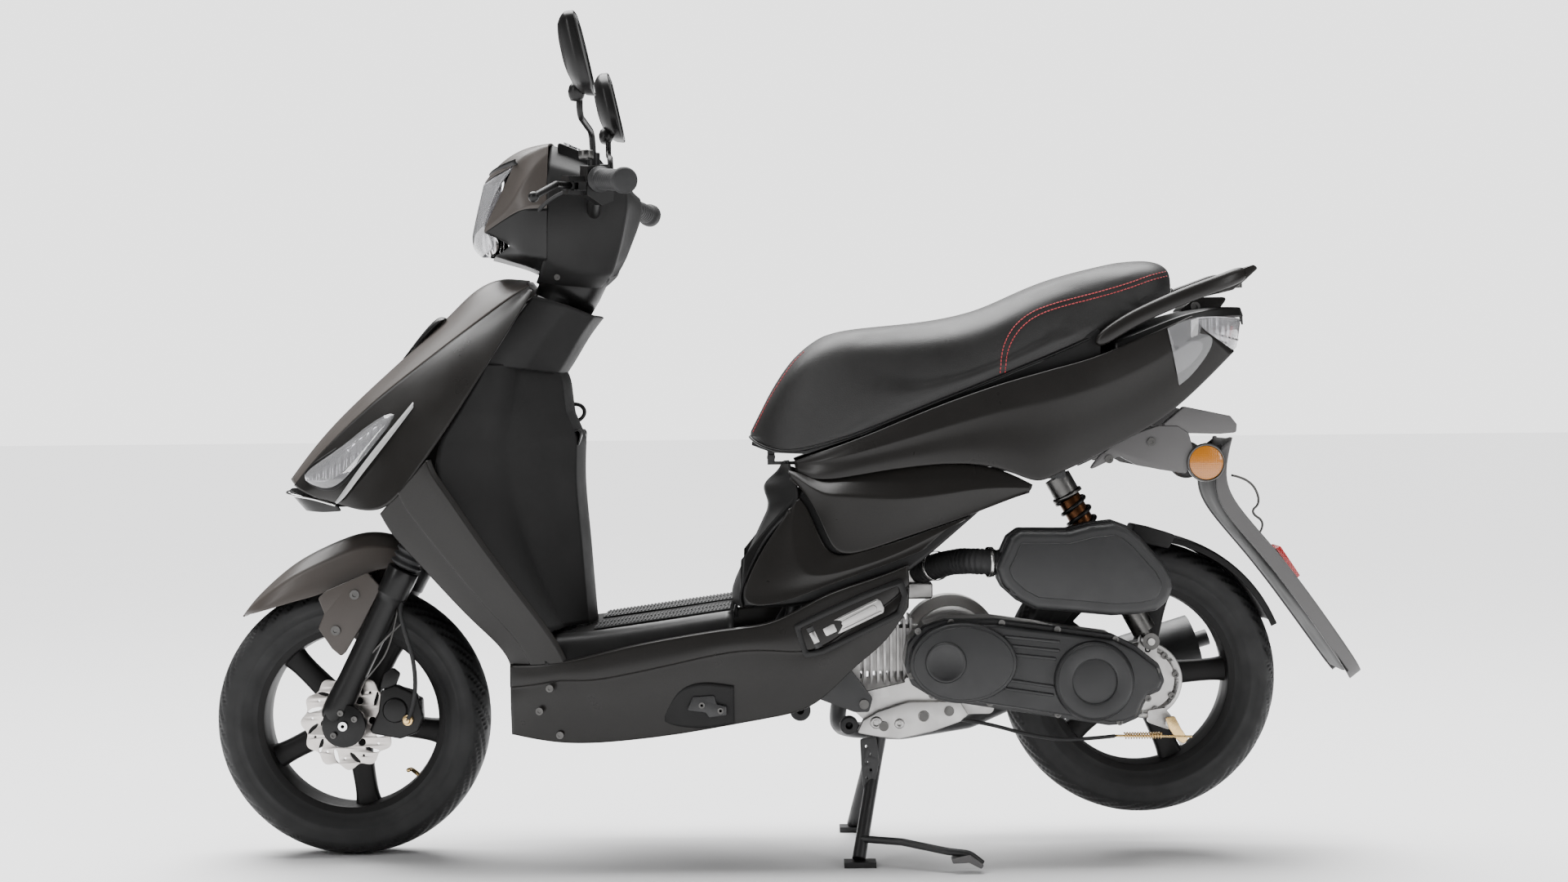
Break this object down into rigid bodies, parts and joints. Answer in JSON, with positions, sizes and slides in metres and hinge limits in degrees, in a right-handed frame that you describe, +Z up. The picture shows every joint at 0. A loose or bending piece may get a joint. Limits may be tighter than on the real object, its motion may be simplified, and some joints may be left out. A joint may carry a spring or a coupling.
{
  "type": "motor scooter",
  "caption": "Step-through motor scooter on its centre stand, with a long dual seat, faired nose, belt-drive engine unit, mirrors and rear grab rail.",
  "frame": {"origin": "on the ground under the middle of the scooter, which stands on its front tyre and its centre stand", "axes": "+X to the back of the scooter, +Y to the rider's right, +Z up"},
  "size_m": [1.9193, 0.792, 1.36],
  "materials": {
    "frame_paint": "satin black paint",
    "nose_plastic": "metallic taupe plastic, satin",
    "panel_plastic": "satin dark graphite plastic",
    "black_plastic": "grained black plastic",
    "gloss_black": "gloss black",
    "clear_lens": "clear moulded lens",
    "reflector_red": "moulded prisms, amber at the sides and red at the back",
    "seat_vinyl": "black grained vinyl with red stitching",
    "rubber": "matt",
    "tyre": "matt rubber",
    "rim_black": "gloss black paint",
    "steel": "ground steel",
    "alloy": "cast aluminium",
    "case_black": "black crackle paint",
    "chrome": "polished",
    "zinc": "yellow zinc plate",
    "switch_red": "red switch",
    "mirror": "black housing",
    "light_grey": "silver plastic",
    "tank": "blow-moulded"
  },
  "bodies": {
    "chassis": {"frame_spine": "frame_paint", "frame_rails": "frame_paint", "nose_panel": "nose_plastic", "front_side_panels": "panel_plastic", "front_indicators": "clear_lens", "leg_shield": "black_plastic", "neck_cover": "black_plastic", "chin_trim": "light_grey", "floor_board": "panel_plastic", "floor_mats": "rubber", "side_skirts": "panel_plastic", "tunnel_cover": "black_plastic", "side_covers": "panel_plastic", "tail_covers": "panel_plastic", "tail_lamp": "clear_lens", "grab_rail": "black_plastic", "plate_holder": "light_grey", "reflectors": "reflector_red", "storage_bucket": "black_plastic", "fuel_tank": "tank", "battery": "gloss_black"},
    "seat": {"seat_cushion": "seat_vinyl", "seat_pan": "black_plastic"},
    "steering": {"steering_stem": "frame_paint", "handlebar": "frame_paint", "grip_left": "rubber", "switch_pods": "black_plastic", "headlight_cowl": "panel_plastic", "headlight_lens": "clear_lens", "bar_cover": "black_plastic"},
    "throttle": {"throttle_grip": "rubber"},
    "lever_left": {"brake_lever_left": "frame_paint"},
    "lever_right": {"brake_lever_right": "frame_paint"},
    "mirror_l": {"mirror_left": "mirror"},
    "mirror_r": {"mirror_right": "mirror"},
    "horn": {"horn_button": "switch_red"},
    "starter": {"start_button": "switch_red"},
    "fork_slider": {"fork_legs": "frame_paint", "front_fender": "nose_plastic", "brake_caliper": "case_black"},
    "front_wheel": {"front_tyre": "tyre", "front_rim": "rim_black", "brake_disc": "steel"},
    "engine_unit": {"crankcase": "alloy", "belt_cover": "case_black", "cylinder_block": "alloy", "exhaust": "case_black", "air_intake": "panel_plastic", "drive_belt": "rubber"},
    "variator": {"drive_pulley": "steel"},
    "clutch": {"driven_pulley": "steel"},
    "rear_wheel": {"rear_tyre": "tyre", "rear_rim": "rim_black"},
    "brake_cam": {"brake_arm": "zinc"},
    "shock_tube": {"shock_upper": "frame_paint", "shock_spring": "frame_paint"},
    "shock_shaft": {"shock_lower": "chrome"},
    "stand": {"centre_stand": "frame_paint"},
    "peg_l": {"peg_left": "alloy"},
    "peg_r": {"peg_right": "alloy"}
  },
  "joints": [
    {"name": "seat_hinge", "type": "hinge", "parent": "chassis", "child": "seat", "pos_m": [-0.022, 0, 0.664], "axis": [0, -1, 0], "range_deg": [0, 62]},
    {"name": "steering", "type": "hinge", "parent": "chassis", "child": "steering", "pos_m": [-0.49081, 0, 0.6789], "axis": [0.4384, 0, 0.8988], "range_deg": [-38, 38]},
    {"name": "throttle", "type": "hinge", "parent": "steering", "child": "throttle", "pos_m": [-0.29, 0.208, 1.115], "axis": [0.3569, 0.928, -0.1071], "range_deg": [0, 80], "stiffness_Nm_per_rad": 0.15},
    {"name": "rear_brake_lever", "type": "hinge", "parent": "steering", "child": "lever_left", "pos_m": [-0.33647, -0.18189, 1.10735], "axis": [0.0384, -0.0999, 0.9943], "range_deg": [0, 14], "stiffness_Nm_per_rad": 3, "springref_deg": -5.73},
    {"name": "front_brake_lever", "type": "hinge", "parent": "steering", "child": "lever_right", "pos_m": [-0.33647, 0.18189, 1.10735], "axis": [-0.0384, -0.0999, -0.9943], "range_deg": [0, 14], "stiffness_Nm_per_rad": 3, "springref_deg": -5.73},
    {"name": "mirror_left_swivel", "type": "hinge", "parent": "steering", "child": "mirror_l", "pos_m": [-0.314, -0.288, 1.232], "axis": [0, 0, 1], "range_deg": [-15, 15]},
    {"name": "mirror_right_swivel", "type": "hinge", "parent": "steering", "child": "mirror_r", "pos_m": [-0.314, 0.288, 1.232], "axis": [0, 0, 1], "range_deg": [-15, 15]},
    {"name": "horn_push", "type": "slide", "parent": "steering", "child": "horn", "axis": [-0.9333, -0.359, 0], "range_m": [0, 0.002], "stiffness_N_per_m": 400, "springref_m": -0.001},
    {"name": "starter_push", "type": "slide", "parent": "steering", "child": "starter", "axis": [-0.9333, 0.359, 0], "range_m": [0, 0.002], "stiffness_N_per_m": 400, "springref_m": -0.001},
    {"name": "fork_travel", "type": "slide", "parent": "steering", "child": "fork_slider", "axis": [0.4384, 0, 0.8988], "range_m": [0, 0.06], "stiffness_N_per_m": 9000, "springref_m": -0.05},
    {"name": "front_wheel_spin", "type": "hinge", "parent": "fork_slider", "child": "front_wheel", "pos_m": [-0.73, 0, 0.2295], "axis": [0, 1, 0], "continuous": true},
    {"name": "engine_swing", "type": "hinge", "parent": "chassis", "child": "engine_unit", "pos_m": [0.128, 0, 0.259], "axis": [0, -1, 0], "range_deg": [0, 7.2], "stiffness_Nm_per_rad": 3800, "springref_deg": -3.44},
    {"name": "rear_wheel_spin", "type": "hinge", "parent": "engine_unit", "child": "rear_wheel", "pos_m": [0.595, 0, 0.29], "axis": [0, 1, 0], "continuous": true},
    {"name": "variator_spin", "type": "hinge", "parent": "engine_unit", "child": "variator", "pos_m": [0.284, -0.15, 0.338], "axis": [0, 1, 0], "continuous": true},
    {"name": "clutch_spin", "type": "hinge", "parent": "engine_unit", "child": "clutch", "pos_m": [0.497, -0.15, 0.303], "axis": [0, 1, 0], "continuous": true},
    {"name": "brake_cam_turn", "type": "hinge", "parent": "engine_unit", "child": "brake_cam", "pos_m": [0.632, -0.096, 0.222], "axis": [0, 1, 0], "range_deg": [0, 12], "stiffness_Nm_per_rad": 2, "springref_deg": -5.73},
    {"name": "shock_pivot", "type": "hinge", "parent": "chassis", "child": "shock_tube", "pos_m": [0.444, -0.092, 0.64], "axis": [0, -1, 0], "range_deg": [0, 3.45]},
    {"name": "shock_stroke", "type": "slide", "parent": "shock_tube", "child": "shock_shaft", "axis": [-0.4875, 0, 0.8731], "range_m": [0, 0.0596], "deforming": ["shock_spring"]},
    {"name": "stand_fold", "type": "hinge", "parent": "engine_unit", "child": "stand", "pos_m": [0.16, 0, 0.222], "axis": [0, -1, 0], "range_deg": [0, 62]},
    {"name": "peg_left_fold", "type": "hinge", "parent": "chassis", "child": "peg_l", "pos_m": [0.046, -0.186, 0.378], "axis": [0.4305, 0, -0.9026], "range_deg": [0, 90]},
    {"name": "peg_right_fold", "type": "hinge", "parent": "chassis", "child": "peg_r", "pos_m": [0.046, 0.186, 0.378], "axis": [-0.4305, 0, 0.9026], "range_deg": [0, 90]}
  ],
  "couplings": [
    {"joint": "shock_pivot", "follows": "engine_swing", "ratio": 0.43766},
    {"joint": "shock_stroke", "follows": "engine_swing", "m_per_rad": 0.46636},
    {"joint": "variator_spin", "follows": "clutch_spin", "ratio": 1.1579}
  ]
}
